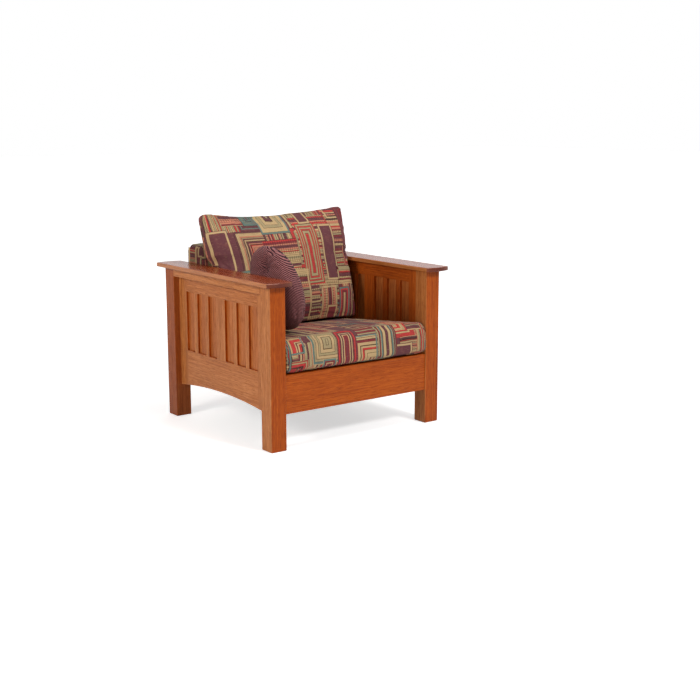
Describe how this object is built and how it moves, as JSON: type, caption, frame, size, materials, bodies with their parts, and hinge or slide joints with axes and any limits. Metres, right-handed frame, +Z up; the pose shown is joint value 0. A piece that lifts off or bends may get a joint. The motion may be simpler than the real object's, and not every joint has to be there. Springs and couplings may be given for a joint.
{
  "type": "armchair",
  "caption": "Square-post oak armchair with flat arms, slatted panel sides over an arch, a sprung seat deck, a fixed upholstered back, loose tapestry cushions and a round accent pillow",
  "frame": {"origin": "on the floor, in the middle of the chair's bounding box", "axes": "+X towards the chair's right side as seen from its front, -Y the way the chair faces, +Z up"},
  "size_m": [0.865, 0.8388, 0.8393],
  "materials": {
    "oak": "quarter-sawn oak, warm cherry stain, satin lacquer",
    "frame_wood": "plain unfinished hardwood",
    "steel": "plain drawn or pressed steel",
    "tapestry": "woven tapestry of nested blocks and bars",
    "plum_chenille": "ribbed chenille",
    "deck_cloth": "plain woven decking cloth",
    "felt": "insulator felt",
    "dust_cloth": "thin non-woven cloth",
    "webbing": "woven webbing"
  },
  "bodies": {
    "chair_frame": {"back_bottom_rail": "frame_wood", "back_left_stile": "frame_wood", "back_pad": "tapestry", "back_right_stile": "frame_wood", "back_screws": "steel", "back_top_rail": "frame_wood", "back_webbing": "webbing", "cleat_screws": "steel", "deck_cover": "deck_cloth", "deck_front_bar": "frame_wood", "deck_left_bar": "frame_wood", "deck_pad": "felt", "deck_rear_bar": "frame_wood", "deck_right_bar": "frame_wood", "dust_cover": "dust_cloth", "floor_glides": "steel", "front_left_post": "oak", "front_rail": "oak", "front_right_post": "oak", "ledger_screws": "steel", "left_arm": "oak", "left_arm_cleat": "oak", "left_centre_panel": "oak", "left_inner_bottom_rail": "oak", "left_inner_mullion": "oak", "left_inner_slats": "oak", "left_inner_stiles": "oak", "left_inner_top_rail": "oak", "left_outer_bottom_rail": "oak", "left_outer_mullion": "oak", "left_outer_slats": "oak", "left_outer_stiles": "oak", "left_outer_top_rail": "oak", "left_seat_ledger": "frame_wood", "outside_back": "tapestry", "rear_cleat": "frame_wood", "rear_left_post": "oak", "rear_rail": "oak", "rear_right_post": "oak", "right_arm": "oak", "right_arm_cleat": "oak", "right_centre_panel": "oak", "right_inner_bottom_rail": "oak", "right_inner_mullion": "oak", "right_inner_slats": "oak", "right_inner_stiles": "oak", "right_inner_top_rail": "oak", "right_outer_bottom_rail": "oak", "right_outer_mullion": "oak", "right_outer_slats": "oak", "right_outer_stiles": "oak", "right_outer_top_rail": "oak", "right_seat_ledger": "frame_wood", "seat_springs": "steel", "spring_clips": "steel"},
    "seat_cushion": {"seat_cushion": "tapestry"},
    "back_cushion": {"back_cushion": "tapestry"},
    "accent_pillow": {"accent_pillow": "plum_chenille"}
  },
  "joints": [
    {"name": "seat_cushion_slide", "type": "slide", "parent": "chair_frame", "child": "seat_cushion", "axis": [0, -0.9945, 0.1045], "range_m": [0, 0.62]},
    {"name": "back_cushion_lift", "type": "slide", "parent": "chair_frame", "child": "back_cushion", "axis": [0, 0, 1], "range_m": [0, 0.45]},
    {"name": "accent_pillow_lift", "type": "slide", "parent": "seat_cushion", "child": "accent_pillow", "axis": [0, 0, 1], "range_m": [0, 0.4]}
  ]
}
